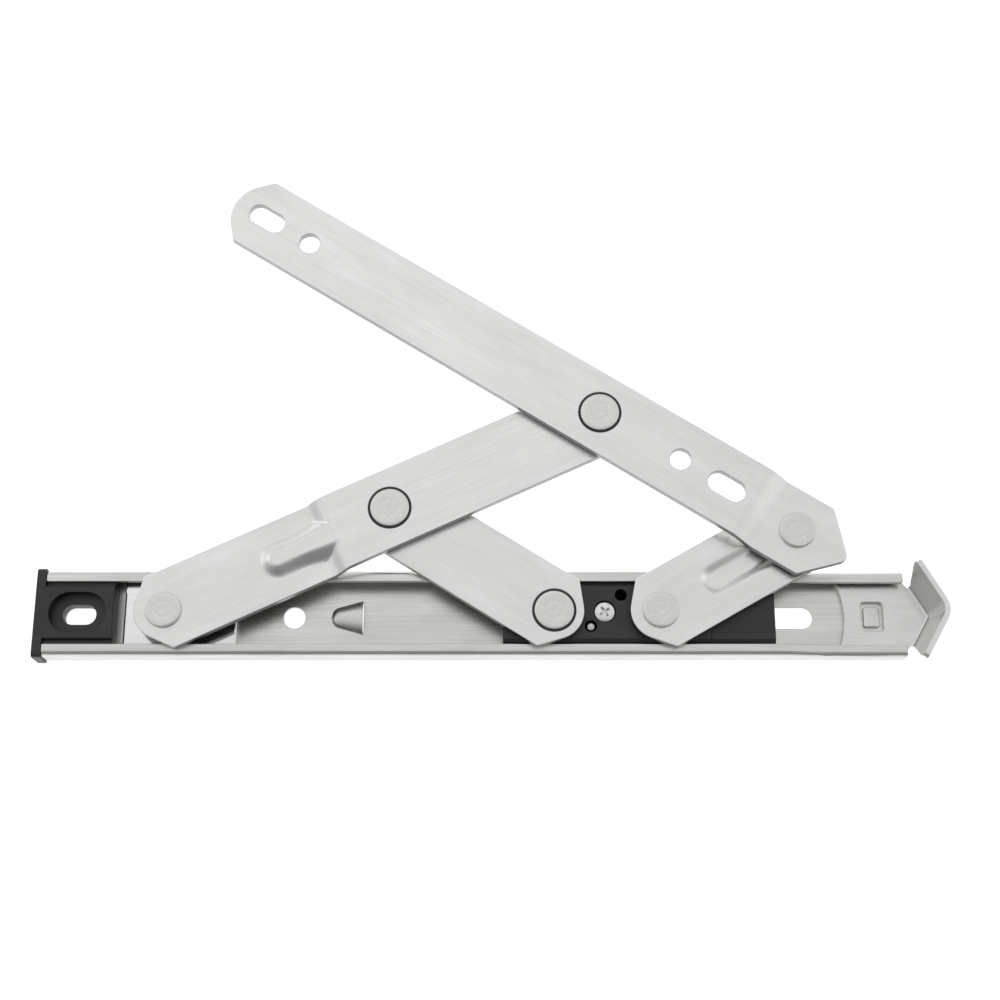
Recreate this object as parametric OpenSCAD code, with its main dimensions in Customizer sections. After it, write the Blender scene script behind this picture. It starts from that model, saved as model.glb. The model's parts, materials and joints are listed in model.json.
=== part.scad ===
// Friction stay hinge for a casement or awning window with a 22 mm hardware groove.
// A channel track carries a slider; five pivots join the track, four arms and the slider.
// Origin: middle of the track's back face. +X runs towards the nose, +Y is the side that
// the arms open to, and +Z points out of the window frame.

/* [Track] */
// Length of the steel channel
track_len = 210; // [208:1:212]
// Width over the channel's side walls
track_w = 21.5; // [21:0.1:22]
// Height of the channel over its lips
track_h = 6.9; // [6.8:0.05:6.95]
// Thickness of the channel's sheet
sheet = 1.2; // [1:0.1:1.3]
// Clear gap between the two lips
lip_gap = 15.6; // [15.4:0.1:16]
// Diameter of the round fixing holes
hole_d = 5.3; // [4.8:0.1:5.6]
// Width of the fixing slots
slot_w = 5.3; // [4.8:0.1:5.6]

/* [Arms] */
// Width of every arm
arm_w = 19.5; // [18:0.5:20]
// Thickness of every arm
arm_t = 2; // [1.8:0.1:2.1]
// Pivot distance of the long arm
long_len = 117.2; // [116:0.2:118]
// Distance from the track pivot to the link pivot on the long arm
link_at = 60; // [59:0.5:61]
// Pivot distance of the short link
link_len = 47.5; // [47:0.5:48]
// Pivot distance of the short arm
short_len = 38.7; // [38:0.1:39.2]
// Distance between the two pivots on the sash arm
sash_len = 56.4; // [56:0.1:57]
// Distance between the two pivots on the slider
slider_len = 25.8; // [25.4:0.1:26.2]

/* [Rivets] */
// Diameter of the rivet heads
head_d = 9.6; // [9:0.1:9.8]
// Diameter of the rivet shanks
shank_d = 6; // [5:0.1:6]

/* [Pose] */
// Angle between the long arm and the track
long_turn = 24.9; // [20:0.1:28]

/* [Hidden] */
$fn = 64;

steel = "gainsboro";
bright = "silver";
black = "dimgray";
brass_tone = "goldenrod";

// Clearances: running fit round a shank, slip between stacked faces, and cutter overrun.
run = 0.05;
slip = 0.05;
over = 1;

// Height of the underside of each arm layer, and of the lowered ends at the nose pivot.
z_low = 7.2;
z_mid = 9.7;
z_top = 12.2;
z_short_end = 6.5;
z_tip = 10.1;

// Pivots: a on the track, b and c on the long arm, d and e on the slider, f near the nose.
link_turn = asin(link_at * sin(long_turn) / link_len);
pivot_a = [-81.5, 0];
pivot_b = pivot_a + link_at * [cos(long_turn), sin(long_turn)];
pivot_c = pivot_a + long_len * [cos(long_turn), sin(long_turn)];
pivot_d = [pivot_b.x + link_len * cos(link_turn), 0];
pivot_e = pivot_d + [slider_len, 0];
reach = norm(pivot_e - pivot_c);
sash_bend = acos((reach ^ 2 + sash_len ^ 2 - short_len ^ 2) / (2 * reach * sash_len));
sash_turn = atan2(pivot_e.y - pivot_c.y, pivot_e.x - pivot_c.x) + sash_bend;
pivot_f = pivot_c + sash_len * [cos(sash_turn), sin(sash_turn)];
short_turn = atan2(pivot_f.y - pivot_e.y, pivot_f.x - pivot_e.x);

// Arm ends: radius of the rounded middle, and how far past the pivot the corners lie.
end_r = 7.3;
end_corner = 1.2;
head_r = head_d / 2;
shank_r = shank_d / 2;
bore_r = shank_r + run;
proud = 0.85;
// Radius of the proud heads, which are a little smaller than the flush ones.
proud_r = 4.4;

// Flush pivots: a bush with a flange holds the head, which stands this far above the arm.
bush_r = 5.3;
bush_floor = 0.4;
bush_h = 1.2;
sleeve_r = 3.6;
flush = 0.3;
seat_gap = 0.02;

// Track stations along X and the profile of its lowered end.
track_x0 = -111;
track_x1 = track_x0 + track_len;
wall_y = track_w / 2;
inner_y = wall_y - sheet;
drop_x0 = 69;
drop_x1 = 80;
low_h = 5.6;
cap_slot_x = -102.9;
cap_slot_l = 8.2;
round_x = -50.6;
end_slot_x = 70;
end_slot_l = 14;
stop_x = -33.6;
stop_l = 7.4;
stop_w = 8.4;
stop_h = 2.4;
stop_t = 0.9;
tongue = [4, 5, 1.1];
tongue_x = 91.4;

// Slider stations along X.
slider_x0 = 0.7;
slider_x1 = 51.2;
tail_x1 = 67;
slide_z0 = 1.3;
slide_top = 6.8;
tail_top = 6.2;
wing_y = 9.3;
wing_h = 5.4;
tail_wing_h = 4;
neck_y = 7.4;
top_y = 6.5;
edge_h = 0.6;
core_z0 = 2.6;
core_z1 = 4.1;
core_y = 6;
core_x0 = 4;
core_x1 = 62;
screw_at = [25.5, 0.25];
peg_at = [22.1, -3.4];
second_at = [29.5, 4.4];
peg_hole_r = 1.5;

module disc(r, z0, z1) {
    translate([0, 0, z0]) cylinder(r = r, h = z1 - z0);
}

module ring(r, hole_r, z0, z1) {
    difference() {
        disc(r, z0, z1);
        disc(hole_r, z0 - over, z1 + over);
    }
}

module at(p) {
    translate([p.x, p.y, 0]) children();
}

module on_long() {
    at(pivot_a) rotate(long_turn) children();
}

module on_sash() {
    at(pivot_c) rotate(sash_turn) children();
}

module on_link() {
    at(pivot_d) rotate(180 - link_turn) children();
}

module on_short() {
    at(pivot_e) rotate(short_turn) children();
}

module stadium(length, width) {
    for (side = [-1, 1]) translate([side * (length - width) / 2, 0]) circle(d = width);
    square([length - width, width], center = true);
}

module slot_cut(length, width, z0, z1) {
    translate([0, 0, z0]) linear_extrude(z1 - z0) stadium(length, width);
}

// Half the plan of an arm's end that points along +X from its centre: a corner at the full
// width, then a straight cut that runs tangent into an arc round the centre.
// past > 0 puts the corner beyond the centre.
arc_steps = 6;
function cut_turn(r, past) = atan2(arm_w / 2, past) - acos(r / norm([past, arm_w / 2]));
function end_side(r, past) = concat([[past, arm_w / 2]],
    [for (i = [0:arc_steps - 1]) let (turn = cut_turn(r, past) * (1 - i / arc_steps)) r * [cos(turn), sin(turn)]]);

// Plan of a whole arm between two end centres, each given as [centre, radius, past].
module arm_plan(first, last) {
    a = end_side(first[1], first[2]);
    b = end_side(last[1], last[2]);
    n = arc_steps;
    left = [for (i = [n:-1:0]) [first[0] - a[i].x, a[i].y]];
    right = [for (i = [0:n]) [last[0] + b[i].x, b[i].y]];
    upper = concat([[first[0] - first[1], 0]], left, right, [[last[0] + last[1], 0]]);
    count = len(upper);
    polygon(concat(upper, [for (i = [count - 2:-1:1]) [upper[i].x, -upper[i].y]]));
}

// A bent sheet: the underside's points [along, height], raised by the sheet's thickness.
module bent_sheet(under, thick, half_width) {
    upper = [for (i = [len(under) - 1:-1:0]) under[i] + [0, thick]];
    rotate([90, 0, 0])
        translate([0, 0, -half_width])
            linear_extrude(2 * half_width) polygon(concat(under, upper));
}

// A pressed rib or groove: a cap of a round bar with one ball end, seen as width by rise.
module pressed_rib(x0, x1, width, rise, z_face, grow) {
    r = ((width / 2) ^ 2 + rise ^ 2) / (2 * abs(rise));
    z_axis = rise > 0 ? z_face + rise - r : z_face + rise + r;
    translate([x0 + width / 2, 0, z_axis]) {
        sphere(r = r + grow);
        rotate([0, 90, 0]) cylinder(r = r + grow, h = x1 - x0 - width / 2);
    }
}

// Channel sides: the top edge drops near the nose so that the short arm can pass.
function rim(z_under) = [[track_x0, track_h - z_under], [drop_x0, track_h - z_under],
    [drop_x1, low_h - z_under], [track_x1, low_h - z_under]];

module channel_side() {
    wall = concat([[track_x1, 0], [track_x0, 0]], rim(0));
    translate([0, wall_y, 0]) rotate([90, 0, 0]) linear_extrude(sheet) polygon(wall);
    lip_y = lip_gap / 2;
    translate([0, (wall_y + lip_y) / 2, 0]) bent_sheet(rim(sheet), sheet, (wall_y - lip_y) / 2);
}

// The stop is a half cone lanced out of the floor, with its open mouth towards the slider.
module stop_cone(grow) {
    r = ((stop_w / 2) ^ 2 + stop_h ^ 2) / (2 * stop_h);
    drop = r - stop_h;
    tilt = atan2(drop, stop_l);
    reach_l = norm([stop_l, drop]);
    translate([stop_x - stop_l, 0, sheet])
        rotate([0, 90 + tilt, 0])
            cylinder(r1 = max(0.05, grow + 0.9), r2 = r + grow, h = reach_l + 2);
}

module track() {
    color(steel)
    difference() {
        union() {
            translate([track_x0, -wall_y, 0]) cube([track_len, track_w, sheet]);
            channel_side();
            mirror([0, 1, 0]) channel_side();
            intersection() {
                stop_cone(0);
                translate([stop_x - 12, -wall_y, 0]) cube([12, track_w, track_h]);
            }
            translate([tongue_x - tongue.x / 2, -tongue.y / 2, 0]) cube([tongue.x, tongue.y, sheet + tongue.z]);
        }
        intersection() {
            stop_cone(-stop_t);
            translate([stop_x - 12, -wall_y, -over]) cube([12 + over, track_w, track_h]);
        }
        translate([cap_slot_x, 0, 0]) slot_cut(cap_slot_l, slot_w - 0.3, -over, sheet + over);
        translate([end_slot_x, 0, 0]) slot_cut(end_slot_l, slot_w, -over, sheet + over);
        translate([round_x, 0, 0]) disc(hole_d / 2, -over, sheet + over);
        at(pivot_a) disc(bore_r, -over, sheet + over);
        at(pivot_a) disc(4.6, -over, 0.7);
    }
}

cap_x0 = -113.4;
cap_x1 = -94.2;
cap_top = 7;
cap_lip = 0.4;
cap_neck_y = 6.6;
cap_floor = 4.4;

module end_cap() {
    color(black)
    difference() {
        union() {
            translate([cap_x0, -wall_y - cap_lip, 0])
                cube([track_x0 - cap_x0 - slip, track_w + 2 * cap_lip, cap_top + 0.1]);
            translate([track_x0 - 0.5, -inner_y + slip, sheet])
                cube([cap_x1 - track_x0 + 0.5, 2 * (inner_y - slip), track_h - 2 * sheet - slip]);
            translate([track_x0 - 0.5, -cap_neck_y, sheet])
                cube([cap_x1 - track_x0 + 0.5, 2 * cap_neck_y, cap_top - sheet]);
        }
        translate([cap_slot_x, 0, 0]) slot_cut(14.1, 10.3, cap_floor, cap_top + over);
        translate([cap_slot_x, 0, 0]) slot_cut(cap_slot_l, slot_w - 0.3, -over, cap_top);
    }
}

// Nose plate: a base under the lips with a V of two flaps that catch the sash arm's tip.
nose_t = 1.4;
nose_x0 = 82.4;
nose_apex = 105.1;
nose_shoulder = [100.8, 7.5];
flap_lean = 12.7;
flap_t = 1.5;
flap_h = 10.7;
flap_foot = 8.65;
flap_head = 12.9;
window = [5.6, 7.4];
arc_r = 22;
arc_dip = 2.1;

module nose_flap() {
    fold_turn = atan2(nose_shoulder.y, nose_shoulder.x - nose_apex);
    intersection() {
        translate([nose_apex, 0, sheet + nose_t])
            rotate([0, 0, fold_turn])
                rotate([90 + flap_lean, 0, 0])
                    linear_extrude(flap_t)
                        polygon([[-4, -nose_t], [flap_foot, -nose_t], [flap_foot, 0],
                            [flap_head, flap_h], [-4, flap_h]]);
        translate([nose_x0, 0, sheet]) cube([40, 20, 20]);
    }
}

module nose_plate() {
    base_y = inner_y - 0.1;
    color(bright)
    difference() {
        union() {
            translate([0, 0, sheet]) linear_extrude(nose_t)
                polygon([[nose_x0, -base_y], [track_x1, -base_y], [nose_shoulder.x, -nose_shoulder.y],
                    [nose_apex + 1, 0], [nose_shoulder.x, nose_shoulder.y], [track_x1, base_y],
                    [nose_x0, base_y]]);
            nose_flap();
            mirror([0, 1, 0]) nose_flap();
        }
        translate([nose_x0 + arc_dip - arc_r, 0, 0]) disc(arc_r, 0, sheet + nose_t + over);
        translate([tongue_x, 0, sheet + nose_t / 2]) cube([window.x, window.y, 2 * nose_t], center = true);
    }
}

seat_x0 = -92.2;
seat_x1 = -64.4;
seat_top = 3.7;
seat_edge = 0.6;

module pivot_seat() {
    y = inner_y - 0.1;
    color(bright)
    difference() {
        translate([seat_x0, 0, 0]) rotate([90, 0, 90]) linear_extrude(seat_x1 - seat_x0)
            polygon([[-y, sheet], [y, sheet], [y, seat_top - seat_edge], [y - seat_edge, seat_top],
                [seat_edge - y, seat_top], [-y, seat_top - seat_edge]]);
        at(pivot_a) disc(bore_r, 0, track_h);
    }
}

module pivot_collar() {
    color(bright) at(pivot_a) ring(6, bore_r, seat_top, z_low - slip);
}

// Flush pivot hole in an arm whose underside is at z: a counterbore over a sleeve bore.
module flush_hole(z) {
    disc(sleeve_r + seat_gap, z - over, z + arm_t + over);
    disc(bush_r + seat_gap, z + arm_t - bush_h, z + arm_t + over);
}

module flush_bush(z) {
    color(black)
    difference() {
        union() {
            disc(bush_r, z + arm_t - bush_h + seat_gap, z + arm_t);
            disc(sleeve_r, z, z + arm_t - bush_h + seat_gap);
        }
        disc(bore_r, z - over, z + arm_t);
        disc(head_r + run, z + arm_t - bush_h + bush_floor, z + arm_t + over);
    }
}

module flush_head(z) {
    disc(head_r, z + arm_t - bush_h + bush_floor + seat_gap, z + arm_t + flush);
}

joggle_s = [41, 45];
rib_s = [25.3, 44.5];
rib_w = 9.5;
rib_h = 1.5;

module long_arm() {
    color(steel)
    on_long()
    difference() {
        union() {
            intersection() {
                linear_extrude(20) arm_plan([0, end_r, end_corner], [long_len, end_r, end_corner]);
                bent_sheet([[-12, z_low], [joggle_s[0], z_low], [joggle_s[1], z_mid], [long_len + 12, z_mid]],
                    arm_t, arm_w);
            }
            intersection() {
                pressed_rib(rib_s[0], rib_s[1], rib_w, rib_h, z_low + arm_t, 0);
                translate([0, -arm_w / 2, z_low + arm_t / 2]) cube([long_len, arm_w, 10]);
            }
        }
        intersection() {
            pressed_rib(rib_s[0], rib_s[1] - 1.5, rib_w, rib_h, z_low + arm_t, -arm_t);
            translate([0, -arm_w / 2, 0]) cube([joggle_s[0] + 1.5, arm_w, 20]);
        }
        disc(bore_r, 0, 20);
        translate([link_at, 0, 0]) flush_hole(z_mid);
        translate([long_len, 0, 0]) disc(shank_r + seat_gap, 0, 20);
    }
}

module rivet_b() {
    color(bright) at(pivot_b) {
        flush_head(z_mid);
        disc(shank_r, z_low + arm_t + slip, z_mid + arm_t - bush_h + bush_floor + 2 * seat_gap);
    }
}

module bush_b() {
    at(pivot_b) flush_bush(z_mid);
}

module washer_b() {
    color(black) at(pivot_b) ring(5.6, bore_r, z_low + arm_t + slip, z_mid);
}

module rivet_c() {
    color(bright) at(pivot_c) {
        flush_head(z_top);
        disc(shank_r, z_mid - 0.3, z_top + arm_t - bush_h + bush_floor + 2 * seat_gap);
        disc(3.6, z_mid - 0.3, z_mid);
    }
}

module washer_c() {
    color(black) at(pivot_c) ring(5.6, bore_r, z_mid + arm_t, z_top - slip);
}

far_s = -100.5;
far_r = 9.5;
far_past = 4;
tip_s = 68;
tip_r = 2;
tip_past = -6.5;
tip_joggle = [44, 48.3];
far_hole_s = -87.2;
near_hole_s = 23.2;
near_slot_s = 36.4;
slot_l = 10;

module sash_arm() {
    color(steel)
    on_sash()
    difference() {
        intersection() {
            linear_extrude(20) arm_plan([far_s, far_r, far_past], [tip_s, tip_r, tip_past]);
            bent_sheet([[-115, z_top], [tip_joggle[0], z_top], [tip_joggle[1], z_tip], [76, z_tip]], arm_t, arm_w);
        }
        flush_hole(z_top);
        for (s = [far_hole_s, near_hole_s]) translate([s, 0, 0]) disc(hole_d / 2, 0, 20);
        for (s = [far_s, near_slot_s]) translate([s, 0, 0]) slot_cut(slot_l, slot_w, 0, 20);
        translate([sash_len, 0, 0]) disc(shank_r + seat_gap, 0, 20);
    }
}

module bush_c() {
    at(pivot_c) flush_bush(z_top);
}

module rivet_f() {
    color(bright) at(pivot_f) {
        disc(proud_r, z_tip + arm_t, z_tip + arm_t + proud);
        disc(shank_r, z_short_end + arm_t + slip, z_tip + arm_t);
    }
}

module spacer_f() {
    color(bright) at(pivot_f) ring(5.5, shank_r + seat_gap, z_short_end + arm_t + slip, z_tip);
}

module short_link() {
    color(steel)
    on_link()
    difference() {
        translate([0, 0, z_low]) linear_extrude(arm_t)
            arm_plan([0, end_r, end_corner], [link_len, end_r, end_corner]);
        flush_hole(z_low);
        translate([link_len, 0, 0]) disc(shank_r + seat_gap, 0, 20);
    }
}

module bush_d() {
    at(pivot_d) flush_bush(z_low);
}

module rivet_b_tail() {
    color(bright) at(pivot_b) {
        disc(shank_r, z_low - 0.2, z_low + arm_t);
        disc(4.2, z_low - 0.2, z_low);
    }
}

// The short arm's fold lies parallel to the sash arm, so it crosses the arm at a slant.
fold_skew = 27.9;
fold_s = [24.3, 27.3];
groove_s = [11.3, 27];
groove_w = 8.5;
groove_h = -0.9;

module short_arm() {
    color(steel)
    on_short()
    difference() {
        intersection() {
            linear_extrude(20) arm_plan([0, end_r, end_corner], [short_len, end_r, end_corner]);
            rotate(fold_skew)
                bent_sheet([[-20, z_low], [fold_s[0], z_low], [fold_s[1], z_short_end], [60, z_short_end]],
                    arm_t, 30);
        }
        pressed_rib(groove_s[0], groove_s[1], groove_w, groove_h, z_low + arm_t, 0);
        disc(bore_r, 0, 20);
        translate([short_len, 0, 0]) disc(shank_r + seat_gap, 0, 20);
    }
}

module rivet_f_tail() {
    color(bright) at(pivot_f) {
        disc(shank_r, z_short_end - 0.2, z_short_end + arm_t);
        disc(4.2, z_short_end - 0.2, z_short_end);
    }
}

// Slider block: wings run under the lips and a chamfered neck rises between them.
module slide_block(x0, x1, wing_top, top) {
    half = [[wing_y, slide_z0], [wing_y, wing_top], [neck_y, wing_top], [neck_y, top - edge_h], [top_y, top]];
    translate([x0, 0, 0]) rotate([90, 0, 90]) linear_extrude(x1 - x0)
        polygon(concat(half, [for (i = [len(half) - 1:-1:0]) [-half[i].x, half[i].y]]));
}

module core_cut() {
    gap = 0.05;
    translate([core_x0 - gap, -core_y - gap, core_z0 - gap])
        cube([core_x1 - core_x0 + 2 * gap, 2 * (core_y + gap), core_z1 - core_z0 + 2 * gap]);
}

module slider_body() {
    color(black)
    difference() {
        slide_block(slider_x0, slider_x1, wing_h, slide_top);
        core_cut();
        for (p = [pivot_d, pivot_e]) at(p) disc(bore_r, 0, 10);
        for (p = [pivot_d, pivot_e]) at(p) disc(4.3, 0, 2.4);
        at(screw_at) disc(2.7, 5.6, 10);
        at(screw_at) disc(1.55, core_z1, 10);
        at(screw_at) disc(3.6, 0, core_z0);
        at(peg_at) disc(peg_hole_r, core_z1, 10);
        at(second_at) disc(peg_hole_r, core_z1, 10);
    }
}

module slider_tail() {
    color(black)
    difference() {
        slide_block(slider_x1 + slip, tail_x1, tail_wing_h, tail_top);
        core_cut();
    }
}

module slider_core() {
    color(bright)
    difference() {
        translate([core_x0, -core_y, core_z0]) cube([core_x1 - core_x0, 2 * core_y, core_z1 - core_z0]);
        for (p = [pivot_d, pivot_e]) at(p) disc(bore_r, 0, 10);
        at(screw_at) disc(1.55, 0, 10);
    }
}

module friction_screw() {
    color(bright) at(screw_at)
    difference() {
        union() {
            disc(2.6, 5.65, 6.7);
            disc(1.5, 2.55, 5.65);
        }
        for (turn = [35, 125]) rotate(turn) translate([-1.5, -0.3, 6]) cube([3, 0.6, 2]);
    }
}

module friction_pad() {
    color(brass_tone) at(screw_at) disc(3.5, sheet + slip, 2.5);
}

module peg_pin() {
    color(bright) at(peg_at) disc(0.95, core_z1 + slip, 6.2);
}

module slider_shank() {
    disc(shank_r, 1.5, z_low + arm_t + slip);
    disc(4.2, 1.5, 2.35);
}

module rivet_e() {
    color(bright) at(pivot_e) {
        slider_shank();
        disc(proud_r, z_low + arm_t + slip, z_low + arm_t + proud);
    }
}

module rivet_d() {
    color(bright) at(pivot_d) {
        disc(shank_r, 1.5, z_low + arm_t - bush_h + bush_floor + 2 * seat_gap);
        disc(4.2, 1.5, 2.35);
        flush_head(z_low);
    }
}

module washer_d() {
    color(black) at(pivot_d) ring(5.8, bore_r, slide_top, z_low - slip);
}

module washer_e() {
    color(black) at(pivot_e) ring(5.8, bore_r, slide_top, z_low - slip);
}

module rivet_a() {
    color(bright) at(pivot_a) {
        disc(4.5, 0.05, 0.65);
        disc(shank_r, 0.05, z_low + arm_t + slip);
        disc(proud_r, z_low + arm_t + slip, z_low + arm_t + proud);
    }
}

track();
end_cap();
nose_plate();
pivot_seat();
pivot_collar();
long_arm();
rivet_b();
bush_b();
washer_b();
rivet_c();
washer_c();
sash_arm();
bush_c();
rivet_f();
spacer_f();
short_link();
bush_d();
rivet_b_tail();
short_arm();
rivet_f_tail();
slider_body();
slider_tail();
slider_core();
friction_screw();
friction_pad();
peg_pin();
rivet_e();
washer_d();
washer_e();
rivet_d();
rivet_a();
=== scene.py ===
import json
import math

import bmesh
import bpy
from mathutils import Matrix, Vector


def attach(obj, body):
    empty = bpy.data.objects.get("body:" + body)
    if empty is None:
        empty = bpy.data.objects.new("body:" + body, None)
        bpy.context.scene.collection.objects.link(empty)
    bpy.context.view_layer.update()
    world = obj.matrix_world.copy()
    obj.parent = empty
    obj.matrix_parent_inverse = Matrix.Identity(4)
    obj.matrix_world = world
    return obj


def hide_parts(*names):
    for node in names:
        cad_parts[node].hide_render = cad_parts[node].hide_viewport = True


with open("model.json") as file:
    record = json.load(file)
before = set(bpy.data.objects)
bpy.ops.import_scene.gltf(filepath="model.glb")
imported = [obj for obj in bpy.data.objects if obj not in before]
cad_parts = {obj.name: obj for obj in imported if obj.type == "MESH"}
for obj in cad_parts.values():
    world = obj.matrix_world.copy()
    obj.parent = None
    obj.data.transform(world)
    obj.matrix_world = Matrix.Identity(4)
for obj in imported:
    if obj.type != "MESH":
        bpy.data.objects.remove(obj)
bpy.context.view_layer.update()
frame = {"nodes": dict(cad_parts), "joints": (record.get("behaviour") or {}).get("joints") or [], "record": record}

# ---------------------------------------------------------------- driving sizes, in millimetres
MM = 0.001
GAP = 0.05                      # clearance between parts that slide or turn on each other
EDGE = 0.22                     # rounding of the arms' sheared edges
ARM_W, ARM_T = 19.5, 2.0
END_R, END_PAST = 7.3, 1.2      # an arm's round end, and how far its sides run past the pivot
LONG_LEN, LINK_LEN, SHORT_LEN = 117.2, 47.5, 38.7
LINK_AT = 60.0                  # where the short link meets the long arm, from its foot
SASH_LEN = 56.4                 # from the long arm's end to the short arm's, along the sash arm
HOLE_R, SLOT_W = 2.65, 5.3      # screw holes and slots
HEAD_R, PROUD_R = 4.8, 4.4      # rivet heads that lie flush, and those that stand proud
SHANK_R, TAIL_R = 3.0, 4.2
BUSH_R, BUSH_HOLE_R = 5.3, 5.32
SUNK = 0.8                      # how far a bush's flange lies below the arm's face
Z_LOW, Z_MID, Z_TOP = 7.2, 9.7, 12.2
Z_SHORT_END, Z_TIP = 6.5, 10.1
SHEET = 1.2                     # the track's sheet
TRACK_X0, TRACK_X1 = -111.0, 99.0
WALL_Y, LIP_Y = 10.75, 7.8
PLATE_Y = WALL_Y - SHEET - 0.1  # half the width of a plate that lies in the track
TRACK_H, LOW_H = 6.9, 5.6       # the track's height, and its height at the nose
DROP_X0, DROP_X1 = 69.0, 80.0
CAP_SLOT = (-102.9, 0, 8.2, 5.0)


def joint_at(name):
    """Where a joint's axis stands, in the track's plane, in millimetres."""
    spot = next(j["pos_m"] for j in frame["joints"] if j["name"] == name)
    return Vector((spot[0] / MM, spot[1] / MM))


def mount_at(name):
    """Where a fixing hole stands, in the track's plane, in millimetres."""
    spot = next(m["pos_m"] for m in frame["record"]["mounts"] if m["name"] == name)
    return Vector((spot[0] / MM, spot[1] / MM))


def along(angle):
    return Vector((math.cos(angle), math.sin(angle)))


def heading(start, end):
    """The direction from one point to another, as an angle from X."""
    reach = end - start
    return math.atan2(reach.y, reach.x)


PIVOT_A = joint_at("long_arm_turn")
PIVOT_C = joint_at("sash_arm_turn")
PIVOT_D = joint_at("slider_run")
PIVOT_E = joint_at("short_arm_turn")
LONG_TURN = heading(PIVOT_A, PIVOT_C)
PIVOT_B = PIVOT_A + LINK_AT * along(LONG_TURN)
SASH_TURN = heading(mount_at("sash_far_hole"), mount_at("sash_near_hole"))
PIVOT_F = PIVOT_C + SASH_LEN * along(SASH_TURN)
ARM_TURNS = {
    "long_arm": LONG_TURN,
    "sash_arm": SASH_TURN,
    "short_link": heading(PIVOT_D, PIVOT_B),
    "short_arm": heading(PIVOT_E, PIVOT_F),
}


# ---------------------------------------------------------------- materials
def material(name, colour, metallic, roughness):
    mat = bpy.data.materials.new(name)
    mat.use_nodes = True
    shader = mat.node_tree.nodes["Principled BSDF"]
    shader.inputs["Base Color"].default_value = (*colour, 1)
    shader.inputs["Metallic"].default_value = metallic
    shader.inputs["Roughness"].default_value = roughness
    return mat, mat.node_tree, shader


def node(tree, kind, **values):
    made = tree.nodes.new(kind)
    for key, value in values.items():
        made.inputs[key.replace("_", " ")].default_value = value
    return made


def math_node(tree, operation, *terms):
    """The result of a Math node; each term is a number or another node's output."""
    made = tree.nodes.new("ShaderNodeMath")
    made.operation = operation
    for socket, term in zip(made.inputs, terms):
        if isinstance(term, float):
            socket.default_value = term
        else:
            tree.links.new(term, socket)
    return made.outputs[0]


NOISE_LOW, NOISE_HIGH = 0.3, 0.7    # the middle of the noise, which holds nearly all of it


def stretched_noise(tree, stretch, scale, detail, turn=0.0):
    """Noise in the piece's own frame, drawn out along the axes where stretch is small."""
    place = tree.nodes.new("ShaderNodeTexCoord")
    lined_up = node(tree, "ShaderNodeMapping", Rotation=(0, 0, -turn))
    mapping = node(tree, "ShaderNodeMapping", Scale=stretch)
    noise = node(tree, "ShaderNodeTexNoise", Scale=scale, Detail=detail, Roughness=0.6)
    tree.links.new(place.outputs["Object"], lined_up.inputs["Vector"])
    tree.links.new(lined_up.outputs["Vector"], mapping.inputs["Vector"])
    tree.links.new(mapping.outputs["Vector"], noise.inputs["Vector"])
    return noise.outputs["Fac"]


def spread(tree, value, low, high):
    """Maps noise to a range, with its middle stretched so that it uses the whole range."""
    made = node(tree, "ShaderNodeMapRange", From_Min=NOISE_LOW, From_Max=NOISE_HIGH,
                To_Min=low, To_Max=high)
    tree.links.new(value, made.inputs["Value"])
    return made.outputs["Result"]


def tint_between(tree, value, dark, light):
    """Maps noise to a colour between two."""
    ramp = tree.nodes.new("ShaderNodeValToRGB")
    ends = ((NOISE_LOW, dark), (NOISE_HIGH, light))
    for element, (spot, colour) in zip(ramp.color_ramp.elements, ends):
        element.position = spot
        element.color = (*colour, 1)
    tree.links.new(value, ramp.inputs["Fac"])
    return ramp.outputs["Color"]


def add_bump(tree, shader, height, strength, depth_mm, under=None):
    """Raises the shader's surface by a height, over an earlier bump if there is one."""
    bump = node(tree, "ShaderNodeBump", Strength=strength, Distance=depth_mm * MM)
    tree.links.new(height, bump.inputs["Height"])
    if under:
        tree.links.new(under.outputs["Normal"], bump.inputs["Normal"])
    tree.links.new(bump.outputs["Normal"], shader.inputs["Normal"])
    return bump


def brushed_steel(name, dark, light, rough_low, rough_high, line_mm=0.12, run_mm=14.0,
                  bump=0.25, turn=0.0, side_dull_and_shade=1.0):
    """Steel with fine lines along its length, broad faint stains, small specks, and upright sides darkened both
    for their dull cut faces and as painted shade.
    """
    mat, tree, shader = material(name, light, 1.0, rough_low)
    lines = stretched_noise(tree, (1 / run_mm, 1 / line_mm, 1 / line_mm), 1 / MM, 3, turn)
    stains = stretched_noise(tree, (0.4, 1.6, 1.6), 0.11 / MM, 4, turn)
    specks = stretched_noise(tree, (1, 1, 1), 2.2 / MM, 2)
    wear = math_node(tree, "MULTIPLY_ADD", lines, 0.6, math_node(tree, "MULTIPLY", stains, 0.4))
    tint = tint_between(tree, wear, dark, light)
    # Upright sides are darkened: partly dull cut faces, partly painted shade.
    if side_dull_and_shade < 1:
        tint = dull_and_shaded_sides(tree, tint, side_dull_and_shade)
    tree.links.new(tint, shader.inputs["Base Color"])
    tree.links.new(spread(tree, wear, rough_high, rough_low), shader.inputs["Roughness"])
    fine = add_bump(tree, shader, lines, bump, 0.02)
    add_bump(tree, shader, specks, 0.06, 0.03, fine)
    return mat


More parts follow.
